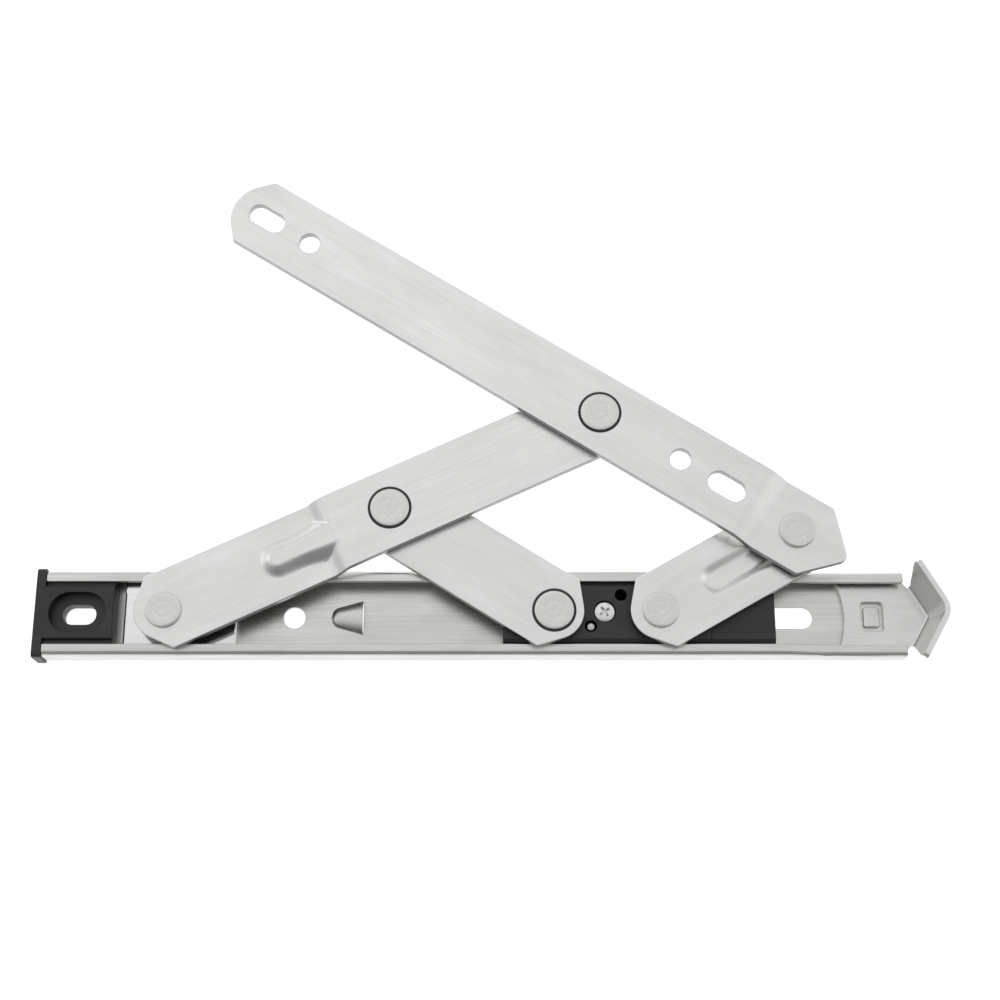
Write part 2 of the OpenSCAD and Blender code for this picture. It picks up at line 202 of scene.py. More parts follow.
def dull_and_shaded_sides(tree, tint, share):
    """Darkens faces that stand upright, sheared edges and the walls of punched holes: partly their dull cut
    finish, partly painted shade where those faces fall in shadow.
    """
    shape = tree.nodes.new("ShaderNodeNewGeometry")
    split = tree.nodes.new("ShaderNodeSeparateXYZ")
    level = node(tree, "ShaderNodeMapRange", From_Min=0.25, From_Max=0.6, To_Min=share, To_Max=1.0)
    blend = tree.nodes.new("ShaderNodeMix")
    blend.data_type = "RGBA"
    blend.blend_type = "MULTIPLY"
    blend.inputs["Factor"].default_value = 1.0
    tree.links.new(shape.outputs["True Normal"], split.inputs[0])
    tree.links.new(math_node(tree, "ABSOLUTE", split.outputs["Z"]), level.inputs["Value"])
    colour_a, colour_b, colour_out = blend.inputs[6], blend.inputs[7], blend.outputs[2]
    tree.links.new(tint, colour_a)
    tree.links.new(level.outputs["Result"], colour_b)
    return colour_out


def turned_steel(name, dark, light, ring_mm):
    """Steel with faint rings round the piece's own axis, as pressed and turned rivet heads have."""
    mat, tree, shader = material(name, light, 1.0, 0.3)
    place = tree.nodes.new("ShaderNodeTexCoord")
    wave = node(tree, "ShaderNodeTexWave", Scale=0.31 / (ring_mm * MM), Distortion=1.2,
                Detail=3.0, Detail_Scale=2.0)
    wave.wave_type = "RINGS"
    wave.rings_direction = "Z"
    tree.links.new(place.outputs["Object"], wave.inputs["Vector"])
    grain = stretched_noise(tree, (1, 1, 1), 2.2 / MM, 4)
    tree.links.new(tint_between(tree, grain, dark, light), shader.inputs["Base Color"])
    tree.links.new(spread(tree, grain, 0.36, 0.24), shader.inputs["Roughness"])
    rings = add_bump(tree, shader, wave.outputs["Fac"], 0.16, 0.02)
    add_bump(tree, shader, grain, 0.06, 0.02, rings)
    return mat


def moulded_plastic(name, dark, light, roughness, grain_mm):
    """Plastic with a fine grain and broad faint flow marks."""
    mat, tree, shader = material(name, dark, 0.0, roughness)
    grain = stretched_noise(tree, (1, 1, 1), 1 / (grain_mm * MM), 3)
    flow = stretched_noise(tree, (0.3, 1, 1), 0.2 / MM, 3)
    tree.links.new(tint_between(tree, flow, dark, light), shader.inputs["Base Color"])
    rough = spread(tree, grain, roughness - 0.06, roughness + 0.1)
    tree.links.new(rough, shader.inputs["Roughness"])
    add_bump(tree, shader, grain, 0.35, 0.03)
    return mat


# The arms' upright sides are darkened to 0.4: partly dull sheared faces, partly painted shade.
ARM_STEELS = {
    name: brushed_steel(name + "_steel", (0.64, 0.64, 0.63), (0.80, 0.80, 0.79), 0.25, 0.36,
                        turn=turn, side_dull_and_shade=0.4)
    for name, turn in ARM_TURNS.items()
}
TRACK_STEEL = brushed_steel("track_steel", (0.52, 0.52, 0.505), (0.72, 0.72, 0.70),
                            0.24, 0.36, 0.16, 20.0, 0.35)
NOSE_STEEL = brushed_steel("nose_steel", (0.58, 0.58, 0.57), (0.74, 0.74, 0.73),
                           0.2, 0.32, 0.2, 6.0, 0.15)
MIRROR_STEEL = brushed_steel("mirror_steel", (0.66, 0.66, 0.66), (0.76, 0.76, 0.76),
                             0.06, 0.13, 0.3, 8.0, 0.08)
RIVET_STEEL = turned_steel("rivet_steel", (0.60, 0.595, 0.58), (0.70, 0.695, 0.68), 0.5)
PLAIN_STEEL = turned_steel("plain_steel", (0.42, 0.42, 0.41), (0.6, 0.6, 0.59), 0.3)
SCREW_STEEL = turned_steel("screw_steel", (0.62, 0.62, 0.62), (0.78, 0.78, 0.78), 0.35)
PAD_BRASS = turned_steel("pad_brass", (0.5, 0.35, 0.14), (0.72, 0.54, 0.26), 0.3)
BLACK_PLASTIC = moulded_plastic("black_plastic", (0.010, 0.010, 0.011), (0.022, 0.022, 0.024),
                                0.42, 0.35)
BLACK_NYLON = moulded_plastic("black_nylon", (0.008, 0.008, 0.009), (0.016, 0.016, 0.017),
                              0.36, 0.25)


# ---------------------------------------------------------------- mesh helpers
def finished(name, bm, body, stands_for, mat, origin=(0, 0, 0), turn=0.0, sharp=14):
    """Turns a mesh in millimetres into a piece of the object, placed and riding on its body.
    Edges that bend by more than sharp, in degrees, stay hard."""
    mesh = bpy.data.meshes.new(name)
    bmesh.ops.recalc_face_normals(bm, faces=bm.faces)
    bm.to_mesh(mesh)
    bm.free()
    mesh.transform(Matrix.Rotation(turn, 4, "Z") @ Matrix.Scale(MM, 4))
    for face in mesh.polygons:
        face.use_smooth = True
    mesh.set_sharp_from_angle(angle=math.radians(sharp))
    piece = bpy.data.objects.new(name, mesh)
    bpy.context.scene.collection.objects.link(piece)
    weighted = piece.modifiers.new("even_normals", "WEIGHTED_NORMAL")
    weighted.keep_sharp = True
    weighted.weight = 80
    mesh.materials.append(mat)
    piece.location = Vector(origin) * MM
    bpy.context.view_layer.update()
    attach(piece, body)
    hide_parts(*stands_for)
    return piece


def evaluated(thing):
    """The mesh that an object has once its curve or its modifiers are worked out."""
    view = bpy.context.evaluated_depsgraph_get()
    mesh = bpy.data.meshes.new_from_object(thing.evaluated_get(view))
    bm = bmesh.new()
    bm.from_mesh(mesh)
    bpy.data.meshes.remove(mesh)
    return bm


def blank(outline, holes, thick, edge=EDGE):
    """A flat sheet from z = 0 to its thickness, with rounded edges, from loops of points."""
    curve = bpy.data.curves.new("blank", "CURVE")
    curve.dimensions = "2D"
    curve.fill_mode = "BOTH"
    curve.extrude = thick / 2 - edge
    curve.bevel_depth = edge
    curve.bevel_resolution = 2
    curve.offset = -edge
    for loop in [outline] + holes:
        spline = curve.splines.new("POLY")
        spline.points.add(len(loop) - 1)
        for point, spot in zip(spline.points, loop):
            point.co = (spot[0], spot[1], 0, 1)
        spline.use_cyclic_u = True
    holder = bpy.data.objects.new("blank", curve)
    bpy.context.scene.collection.objects.link(holder)
    bpy.context.view_layer.update()
    bm = evaluated(holder)
    bmesh.ops.remove_doubles(bm, verts=bm.verts, dist=0.004)
    for vert in bm.verts:
        vert.co.z += thick / 2
    bpy.data.objects.remove(holder)
    bpy.data.curves.remove(curve)
    return bm


def slice_mesh(bm, normal, offsets, keep=None):
    """Adds edges where planes cross the mesh, on the faces that keep picks out."""
    for offset in offsets:
        faces = [f for f in bm.faces if keep is None or keep(f.calc_center_median())]
        edges = {e for f in faces for e in f.edges}
        verts = {v for f in faces for v in f.verts}
        bmesh.ops.bisect_plane(bm, geom=[*faces, *edges, *verts], dist=0.001,
                               plane_co=Vector(normal) * offset, plane_no=Vector(normal))


def steps(low, high, count):
    """Evenly spaced numbers from low to high, both of them included."""
    return [low + (high - low) * i / count for i in range(count + 1)]


def circle(x, y, r, count=64):
    return [(x + r * math.cos(a), y + r * math.sin(a)) for a in steps(0, 2 * math.pi, count)[:-1]]


def stadium(x, y, length, width, count=24):
    """A slot along X with round ends."""
    half = (length - width) / 2
    right = [(x + half + width / 2 * math.cos(a), y + width / 2 * math.sin(a))
             for a in steps(-math.pi / 2, math.pi / 2, count)]
    return right + [(2 * x - px, 2 * y - py) for px, py in right]


def rounded(points, radius, count=8):
    """A closed outline with its corners rounded; radius is one number or one for each corner."""
    out = []
    for i, here in enumerate(points):
        r = radius[i] if isinstance(radius, (list, tuple)) else radius
        here = Vector(here)
        before = (Vector(points[i - 1]) - here).normalized()
        after = (Vector(points[(i + 1) % len(points)]) - here).normalized()
        half = before.angle(after) / 2
        if r <= 0:
            out.append(tuple(here))
            continue
        centre = here + (before + after).normalized() * (r / math.sin(half))
        first = here + before * (r / math.tan(half)) - centre
        last = here + after * (r / math.tan(half)) - centre
        swing = first.angle_signed(last)
        for a in steps(0, -swing, count):
            out.append((centre.x + first.x * math.cos(a) - first.y * math.sin(a),
                        centre.y + first.x * math.sin(a) + first.y * math.cos(a)))
    return out


def smooth(value, low, high):
    """Rises from 0 at low to 1 at high, and is level at both."""
    t = min(1.0, max(0.0, (value - low) / (high - low)))
    return t * t * (3 - 2 * t)


def lathe(profile, count=96):
    """A closed solid turned round Z from (radius, height) points; a radius of 0 closes it."""
    bm = bmesh.new()
    rings = []
    for r, z in profile:
        if r == 0:
            rings.append([bm.verts.new((0, 0, z))])
        else:
            rings.append([bm.verts.new((x, y, z)) for x, y in circle(0, 0, r, count)])
    closed = profile[0][0] != 0
    pairs = list(zip(rings, rings[1:])) + ([(rings[-1], rings[0])] if closed else [])
    for a, b in pairs:
        for i in range(count):
            j = (i + 1) % count
            ring = [a[i % len(a)], a[j % len(a)], b[j % len(b)], b[i % len(b)]]
            bm.faces.new(list(dict.fromkeys(ring)))
    return bm


def top_corner(r, z, size, count=4):
    """A lathe profile's rounded outer top corner, round the centre (r, z)."""
    return [(r + size * math.cos(math.radians(a)), z + size * math.sin(math.radians(a)))
            for a in steps(90, 0, count)]


def cut(bm, cutters):
    """Takes closed cutter meshes away from a closed mesh."""
    def to_object(part):
        mesh = bpy.data.meshes.new("cut")
        bmesh.ops.recalc_face_normals(part, faces=part.faces)
        part.to_mesh(mesh)
        part.free()
        made = bpy.data.objects.new("cut", mesh)
        bpy.context.scene.collection.objects.link(made)
        return made

    target = to_object(bm)
    tools = [to_object(c) for c in cutters]
    for tool in tools:
        mod = target.modifiers.new("cut", "BOOLEAN")
        mod.operation = "DIFFERENCE"
        mod.solver = "EXACT"
        mod.object = tool
    bpy.context.view_layer.update()
    out = evaluated(target)
    for made in [target, *tools]:
        bpy.data.objects.remove(made)
    return out


def join(parts):
    """One mesh that holds several."""
    out = bmesh.new()
    for part in parts:
        mesh = bpy.data.meshes.new("part")
        part.to_mesh(mesh)
        part.free()
        out.from_mesh(mesh)
        bpy.data.meshes.remove(mesh)
    return out


# ---------------------------------------------------------------- arms
def arm_end(centre, radius, past, facing):
    """The outline of an arm's end, from its lower corner to its upper one as seen facing out."""
    tip_round = 1.0
    half = ARM_W / 2
    turn = math.atan2(half, past) - math.acos(radius / math.hypot(past, half))
    arc = [(radius * math.cos(a), radius * math.sin(a)) for a in steps(-turn, turn, 18)]
    points = [(past, -half), *arc, (past, half)]
    sizes = [tip_round] + [0] * len(arc) + [tip_round]
    return [(centre + facing * x, facing * y) for x, y in points], sizes


def arm_outline(left, right):
    """A whole arm from its two ends, each with its centre, its radius and how far its sides run."""
    a, a_sizes = arm_end(*left, -1)
    b, b_sizes = arm_end(*right, 1)
    return rounded(a + b, a_sizes + b_sizes)


def plain_outline(length):
    return arm_outline((0, END_R, END_PAST), (length, END_R, END_PAST))


def slice_lengthwise(bm, low, high):
    """Adds lines along an arm, from edge to edge, on the faces with low < x < high."""
    side = ARM_W / 2 - 0.6
    slice_mesh(bm, (0, 1, 0), steps(-side, side, 44), lambda p: low < p.x < high)


def finished_arm(name, bm, pivot):
    """An arm's sheet, turned to its rest angle about the pivot that it starts from."""
    return finished(name + "_sheet", bm, name, [name], ARM_STEELS[name],
                    (*pivot, 0), ARM_TURNS[name])


def long_arm():
    """The cranked arm: low at the track pivot, with a pressed rib that runs up its joggle."""
    foot, top = 40.6, 45.6
    rib_x, rib_r, rib_h = 25.3, 4.75, 1.6
    rise = Z_MID - Z_LOW
    blend = 0.35
    holes = [circle(0, 0, SHANK_R, 48), circle(LINK_AT, 0, BUSH_HOLE_R, 96),
             circle(LONG_LEN, 0, SHANK_R, 48)]
    bm = blank(plain_outline(LONG_LEN), holes, ARM_T)
    slice_mesh(bm, (1, 0, 0), steps(rib_x - 1, top + 1.5, 56))
    slice_lengthwise(bm, rib_x - 1, top + 1)
    for vert in bm.verts:
        x, y = vert.co.x, vert.co.y
        bend = rise * smooth(x, foot, top)
        off = math.hypot(min(0.0, x - rib_x - rib_r), y) / rib_r
        flare = 1 + 0.35 * smooth(x, foot - 6, top)
        rib = rib_h * (1 - smooth(off / flare, 0.3, 1.0)) * (1 + 0.5 * smooth(x, rib_x + rib_r, top))
        near = max(0.0, blend - abs(bend - rib)) / blend
        upper = max(bend, rib)
        fillet = near * near * blend / 4 * smooth(upper, 0, 0.4)
        vert.co.z += Z_LOW + (upper + fillet if x < top else rise)
    return finished_arm("long_arm", bm, PIVOT_A)


def sash_arm():
    """The top arm, which carries the sash: two holes, two slots and a lowered pointed tip."""
    foot, top = 43.2, 48.4
    outline = arm_outline((-100.5, 9.5, 4.0), (68.0, 2.0, -6.5))
    holes = [circle(s, 0, HOLE_R) for s in (-87.2, 23.2)]
    holes += [stadium(s, 0, 10.0, SLOT_W) for s in (-100.5, 36.4)]
    holes += [circle(0, 0, BUSH_HOLE_R, 96), circle(SASH_LEN, 0, SHANK_R, 48)]
    bm = blank(outline, holes, ARM_T)
    slice_mesh(bm, (1, 0, 0), steps(foot - 0.5, top + 0.5, 24))
    for vert in bm.verts:
        down = min(1.0, max(0.0, (vert.co.x - foot) / (top - foot)))
        vert.co.z += Z_TOP - (Z_TOP - Z_TIP) * down ** 1.35
    return finished_arm("sash_arm", bm, PIVOT_C)


def short_link():
    """The flat link from the slider to the long arm."""
    holes = [circle(0, 0, BUSH_HOLE_R, 96), circle(LINK_LEN, 0, SHANK_R, 48)]
    bm = blank(plain_outline(LINK_LEN), holes, ARM_T)
    for vert in bm.verts:
        vert.co.z += Z_LOW
    return finished_arm("short_link", bm, PIVOT_D)


def short_arm():
    """The arm by the nose: a pressed groove leads into a slanted step down to its far end."""
    skew = ARM_TURNS["short_arm"] - ARM_TURNS["sash_arm"]
    across = along(math.pi / 2 - skew)
    foot, low = 24.0, 28.0
    groove_x, groove_r, groove_h = 11.3, 4.3, 1.0
    bm = blank(plain_outline(SHORT_LEN), [circle(x, 0, SHANK_R, 48) for x in (0, SHORT_LEN)], ARM_T)
    slice_mesh(bm, (1, 0, 0), steps(groove_x - 1, 38, 54))
    slice_lengthwise(bm, groove_x - 1, 39)
    for vert in bm.verts:
        x, y = vert.co.x, vert.co.y
        upper = vert.co.z > ARM_T / 2
        over = across.x * x + across.y * y
        step = (Z_SHORT_END - Z_LOW) * smooth(over, foot, low)
        off = math.hypot(min(0.0, x - groove_x - groove_r), y) / groove_r
        depth = groove_h * (1 - smooth(off, 0.35, 1.0)) * (1 - smooth(over, low - 1, low + 3))
        dip = -depth if upper else -0.2 * depth
        under = step + dip * (1 - smooth(over, foot - 3, foot))
        vert.co.z += Z_LOW + (min(step, dip) if upper else under)
    return finished_arm("short_arm", bm, PIVOT_E)


# ---------------------------------------------------------------- rivets, bushes and washers
def turned(name, body, node_name, spot, profile, mat, count=96):
    """A piece turned round an upright axis at a spot in the track's plane."""
    return finished(name, lathe(profile, count), body, [node_name], mat, (*spot, 0), sharp=38)


def head_profile(z0, z1, r=HEAD_R):
    """A pressed head: a flat face with a faint dished ring and centre, over a plain shank."""
    face = [(0, z1 - 0.04), (0.7, z1 - 0.04), (1.0, z1 - 0.01), (1.7, z1 - 0.01), (1.9, z1 - 0.04),
            (2.15, z1 - 0.01), (r - 0.9, z1)]
    rim = [(r - 0.28, z1 - 0.02), (r - 0.12, z1 - 0.08), (r - 0.02, z1 - 0.2), (r, z1 - 0.34)]
    return face + rim + [(r, z0), (SHANK_R, z0)]


def rivets():
    """Six rivets, and the tails that B and F keep in the arm below."""
    sunk = ARM_T - SUNK + 0.02
    flush = ARM_T + 0.3
    proud = ARM_T + 0.85
    low_arm = Z_LOW + ARM_T + GAP
    short_arm_end = Z_SHORT_END + ARM_T + GAP
    in_track = [(SHANK_R, 0.65), (4.5, 0.65), (4.5, 0.05), (0, 0.05)]
    in_arm = [(SHANK_R, Z_MID), (3.6, Z_MID), (3.6, Z_MID - 0.25), (3.4, Z_MID - 0.3),
              (0, Z_MID - 0.3)]
    in_slider = [(SHANK_R, 2.35), (TAIL_R, 2.35), (TAIL_R, 1.5), (0, 1.5)]
    plan = [
        ("rivet_a", "rivet_a", PIVOT_A, head_profile(low_arm, Z_LOW + proud, PROUD_R), in_track),
        ("rivet_b", "long_arm", PIVOT_B, head_profile(Z_MID + sunk, Z_MID + flush),
         [(SHANK_R, low_arm), (0, low_arm)]),
        ("rivet_c", "long_arm", PIVOT_C, head_profile(Z_TOP + sunk, Z_TOP + flush), in_arm),
        ("rivet_d", "rivet_d", PIVOT_D, head_profile(Z_LOW + sunk, Z_LOW + flush), in_slider),
        ("rivet_e", "slider", PIVOT_E, head_profile(low_arm, Z_LOW + proud, PROUD_R), in_slider),
        ("rivet_f", "sash_arm", PIVOT_F, head_profile(Z_TIP + ARM_T, Z_TIP + proud, PROUD_R),
         [(SHANK_R, short_arm_end), (0, short_arm_end)]),
    ]
    for name, body, z0, spot in (("rivet_b_tail", "short_link", Z_LOW, PIVOT_B),
                                 ("rivet_f_tail", "short_arm", Z_SHORT_END, PIVOT_F)):
        z1 = z0 + ARM_T
        shank = [(0, z1), (SHANK_R - 0.1, z1), (SHANK_R, z1 - 0.1), (SHANK_R, z0)]
        button = [(TAIL_R, z0), (TAIL_R, z0 - 0.1), (TAIL_R - 0.25, z0 - 0.2), (0, z0 - 0.2)]
        plan.append((name, body, spot, shank, button))
    for name, body, spot, upper, lower in plan:
        turned(name + "_turned", body, name, spot, upper + lower, RIVET_STEEL)


def bushes():
    """Black bushes with a flange whose rim shows as a thin dark ring round each flush head."""
    mouth, bore = HEAD_R + GAP, SHANK_R + GAP
    for name, body, spot, z in (("bush_b", "long_arm", PIVOT_B, Z_MID),
                                ("bush_c", "sash_arm", PIVOT_C, Z_TOP),
                                ("bush_d", "short_link", PIVOT_D, Z_LOW)):
        top = z + ARM_T
        rim = [(mouth, top - 0.18), (HEAD_R + 0.12, top - 0.12), (BUSH_R - 0.08, top - 0.12),
               (BUSH_R, top - 0.2)]
        profile = [(mouth, top - SUNK), *rim, (BUSH_R, z), (bore, z), (bore, top - SUNK)]
        turned(name + "_moulded", body, name, spot, profile, BLACK_NYLON)


def rings():
    """Washers, the collar under pivot A and the spacer under pivot F."""
    low_face = Z_LOW + ARM_T + GAP
    short_face = Z_SHORT_END + ARM_T + GAP
    under_low = Z_LOW - GAP
    slider_top = 6.8
    plan = [
        ("washer_b", "long_arm", PIVOT_B, 5.6, low_face, Z_MID, BLACK_NYLON, "black_nylon"),
        ("washer_c", "long_arm", PIVOT_C, 5.6, Z_MID + ARM_T, Z_TOP - GAP, BLACK_NYLON, "black_nylon"),
        ("washer_d", "slider", PIVOT_D, 5.8, slider_top, under_low, BLACK_NYLON, "black_nylon"),
        ("washer_e", "slider", PIVOT_E, 5.8, slider_top, under_low, BLACK_NYLON, "black_nylon"),
        ("pivot_collar", "track", PIVOT_A, 6.0, 3.7, under_low, PLAIN_STEEL, "plain_steel"),
        ("spacer_f", "sash_arm", PIVOT_F, 5.5, short_face, Z_TIP, PLAIN_STEEL, "plain_steel"),
    ]
    bore = SHANK_R + GAP
    for name, body, spot, r, z0, z1, mat, slot in plan:
        e = min(0.2, (z1 - z0) / 3)
        profile = top_corner(r - e, z1 - e, e) + [(r, z0 + e), (r - e, z0), (bore, z0), (bore, z1)]
        turned(name + "_turned", body, name, spot, profile, mat)


# ---------------------------------------------------------------- track
def track():
    """Folded from one flat blank: floor, two bends, the side walls, two bends and the lips."""
    inner_bend = 0.35
    outer_bend = inner_bend + SHEET
    mid = inner_bend + SHEET / 2
    flat = WALL_Y - outer_bend
    arc = mid * math.pi / 2
    wall = TRACK_H - 2 * outer_bend
    turns = [flat, flat + arc, flat + arc + wall, flat + 2 * arc + wall]
    edge_v = turns[3] + flat - LIP_Y
    pocket = rounded([(-41.4, 0), (-33.6, -4.1), (-33.6, 4.1)], [1.4, 0.3, 0.3])
    holes = [circle(-50.6, 0, HOLE_R), stadium(*CAP_SLOT), stadium(70.0, 0, 14.0, SLOT_W), pocket]
    corners = [(TRACK_X0, -edge_v), (TRACK_X1, -edge_v), (TRACK_X1, edge_v), (TRACK_X0, edge_v)]
    bm = blank(rounded(corners, 0.4, 3), holes, SHEET, 0.18)
    for side in (-1, 1):
        for low, high in ((turns[0], turns[1]), (turns[2], turns[3])):
            slice_mesh(bm, (0, side, 0), steps(low, high, 6))
    slice_mesh(bm, (1, 0, 0), steps(DROP_X0 - 1, DROP_X1 + 1, 22))
    for vert in bm.verts:
        x, v, w = vert.co
        side = 1 if v >= 0 else -1
        v = abs(v)
        drop = smooth(x, DROP_X0 - 0.5, DROP_X1 + 0.5)
        height = TRACK_H + (LOW_H - TRACK_H) * drop
        r = outer_bend - w
        if v <= turns[0]:
            y, z = v, w
        elif v <= turns[1]:
            a = (v - turns[0]) / mid
            y, z = flat + r * math.sin(a), outer_bend - r * math.cos(a)
        elif v <= turns[2]:
            y, z = flat + r, outer_bend + (v - turns[1]) * (height - 2 * outer_bend) / wall
        elif v <= turns[3]:
            a = (v - turns[2]) / mid
            y, z = flat + r * math.cos(a), height - outer_bend + r * math.sin(a)
        else:
            y, z = flat - (v - turns[3]), height - w
        vert.co = (x, side * y, z)
    return finished("track_channel", join([bm, stop_tab(), tongue()]), "track", ["track"],
                    TRACK_STEEL)


def stop_tab():
    """Half cone lanced up from the floor, with a round nose and an open mouth towards the slider."""
    x0, x1, half, high, thick = -41.6, -33.7, 4.25, 2.5, 0.8
    rows, count = 18, 24
    bm = bmesh.new()
    shells = []
    for inset in (0.0, thick):
        grid = []
        for i in range(rows + 1):
            t = i / rows
            swell = math.sqrt(max(0.0, 1 - (1 - min(1.0, t / 0.22)) ** 2)) * (0.48 + 0.52 * t)
            w = max(0.02, half * swell - inset * 0.9)
            h = max(0.01, high * swell - inset)
            x = x0 + inset * (1 - t) + (x1 - x0) * t
            arch = [math.pi * k / count for k in range(count + 1)]
            grid.append([bm.verts.new((x, -w * math.cos(a), SHEET - 0.05 + h * math.sin(a) ** 0.9))
                         for a in arch])
        shells.append(grid)
    outer, inner = shells
    for i in range(rows):
        for k in range(count):
            for g in (outer, inner):
                bm.faces.new((g[i][k], g[i + 1][k], g[i + 1][k + 1], g[i][k + 1]))
    for k in range(count):
        bm.faces.new((outer[rows][k], inner[rows][k], inner[rows][k + 1], outer[rows][k + 1]))
        bm.faces.new((outer[0][k], outer[0][k + 1], inner[0][k + 1], inner[0][k]))
    for i in range(rows):
        for k in (0, count):
            bm.faces.new((outer[i][k], inner[i][k], inner[i + 1][k], outer[i + 1][k]))
    return bm


def tongue():
    """The locking tongue that stands up from the floor inside the nose plate's window."""
    x0, x1, half, crown = 89.4, 93.4, 2.5, 0.55
    bm = blank(rounded([(x0, -half), (x1, -half), (x1, half), (x0, half)], 0.6), [], 1.1, 0.2)
    slice_mesh(bm, (1, 0, 0), steps(x0 + 0.2, x1 - 0.2, 12))
    for vert in bm.verts:
        off = abs(vert.co.x - (x0 + x1) / 2) / 2.4
        vert.co.z += SHEET + 0.01 - (crown * off * off if vert.co.z > 0.5 else 0)
    return bm


# ---------------------------------------------------------------- nose plate and pivot seat
def nose_plate():
    """A base plate with its front edge folded up into one V-shaped wall that leans outwards."""
    thick, x0, x1, y0 = 1.4, 82.4, TRACK_X1 - 0.2, PLATE_Y
    apex, shoulder = Vector((105.4, 0)), Vector((101.1, 7.5))
    fold = (shoulder - apex).normalized()
    out = Vector((fold.y, -fold.x))
    round_r, bend_r, fold_long = 1.6, 0.7, 8.3
    turn = math.atan2(out.y, out.x)
    centre = apex - Vector((round_r / math.cos(turn), 0))
    arc_long = round_r * turn
    skip = round_r * math.tan(turn)
    lean = math.radians(77.3)
    mid_r = bend_r + thick / 2
    pull = bend_r * math.tan(lean / 2)

    def path(s, q):
        """The point at length s from the apex along the fold, q outwards from it."""
        if abs(s) < arc_long:
            normal = along(s / round_r)
            return centre + normal * (round_r + q)
        spot = apex + fold * (abs(s) - arc_long + skip) + out * q
        return Vector((spot.x, math.copysign(spot.y, s)))

    stations = (steps(-fold_long, -arc_long, 4) + steps(-arc_long, arc_long, 10)[1:-1]
                + steps(arc_long, fold_long, 4))
    front = [tuple(path(s, -pull)) for s in stations]
    dip, count = 2.1, 24
    arc_r = (y0 ** 2 + dip ** 2) / (2 * dip)
    rim = [(x0 + dip - arc_r + math.sqrt(arc_r ** 2 - y * y), y) for y in steps(y0, -y0, count)][1:-1]
    outline = [(x0, -y0), (x1, -y0), *front, (x1, y0), (x0, y0), *rim]
    sizes = [0.5, 1.0] + [0] * len(front) + [1.0, 0.5] + [0] * len(rim)
    window = rounded([(88.6, -3.7), (94.2, -3.7), (94.2, 3.7), (88.6, 3.7)], 1.0)
    bm = blank(rounded(outline, sizes, 6), [window], thick, 0.15)
    for vert in bm.verts:
        vert.co.z += SHEET
    sheet = join([bm, nose_wall(path, pull, mid_r, lean, thick)])
    return finished("nose_plate_sheet", sheet, "track", ["nose_plate"], NOSE_STEEL)


def nose_wall(path, pull, mid_r, lean, thick):
    """The bend and the wall above it, swept along the fold, with the wall's top corners rounded."""
    foot, head, high, soft = 8.65, 12.9, 10.7, 1.6
    skin = 0.015                # stands clear of the base plate's own faces
    wall = high - mid_r * lean
    middle = SHEET + thick / 2
    rows = []
    for v in steps(-1, 1, 60):
        crest = soft * (1 - math.sqrt(max(0.0, 1 - max(0.0, (abs(v) - 0.87) / 0.13) ** 2)))
        faces = []
        for side in (1, -1):
            half = side * (thick / 2 + skin)
            r = mid_r - half
            line = [(v * foot, -pull + t, middle + half) for t in steps(-0.7, 0, 2)]
            for t in steps(0, 1, 8)[1:]:
                a = lean * t
                line.append((v * foot, -pull + r * math.sin(a), middle + mid_r - r * math.cos(a)))
            for t in steps(0, 1, 10)[1:]:
                rise = (wall - crest) * t
                width = foot + (head - foot) * min(1.0, rise / wall)
                line.append((v * width, -pull + r * math.sin(lean) + rise * math.cos(lean),
                             middle + mid_r - r * math.cos(lean) + rise * math.sin(lean)))
            faces.append(line)
        rows.append(faces[0] + faces[1][::-1])
    bm = bmesh.new()
    grid = [[bm.verts.new((*path(s, q), z)) for s, q, z in row] for row in rows]
    size = len(grid[0])
    for i in range(len(grid) - 1):
        for k in range(size):
            m = (k + 1) % size
            bm.faces.new((grid[i][k], grid[i + 1][k], grid[i + 1][m], grid[i][m]))
    half = size // 2
    for row in (grid[0], grid[-1]):
        for k in range(half - 1):
            bm.faces.new((row[k], row[k + 1], row[size - 2 - k], row[size - 1 - k]))
    return bm


def pivot_seat():
    """The bright plate that the long arm's foot turns on."""
    x0, x1, y = -92.2, -64.4, PLATE_Y
    bm = blank(rounded([(x0, -y), (x1, -y), (x1, y), (x0, y)], 0.8), [], 2.5, 0.5)
    for vert in bm.verts:
        vert.co.z += SHEET
    return finished("pivot_seat_plate", bm, "track", ["pivot_seat"], MIRROR_STEEL)


# ---------------------------------------------------------------- black mouldings
def prism(outline, x0, x1, edge):
    """An outline in Y and Z, drawn along X, with rounded ends."""
    bm = blank(outline, [], x1 - x0, edge)
    bm.transform(Matrix(((0, 0, 1, x0), (1, 0, 0, 0), (0, 1, 0, 0), (0, 0, 0, 1))))
    return bm


def pillar(outline, z0, z1):
    """A plain cutter: an outline in X and Y, from z0 to z1."""
    bm = bmesh.new()
    low = [bm.verts.new((x, y, z0)) for x, y in outline]
    high = [bm.verts.new((x, y, z1)) for x, y in outline]
    bm.faces.new(list(reversed(low)))
    bm.faces.new(high)
    for i in range(len(low)):
        j = (i + 1) % len(low)
        bm.faces.new((low[i], low[j], high[j], high[i]))
    return bm


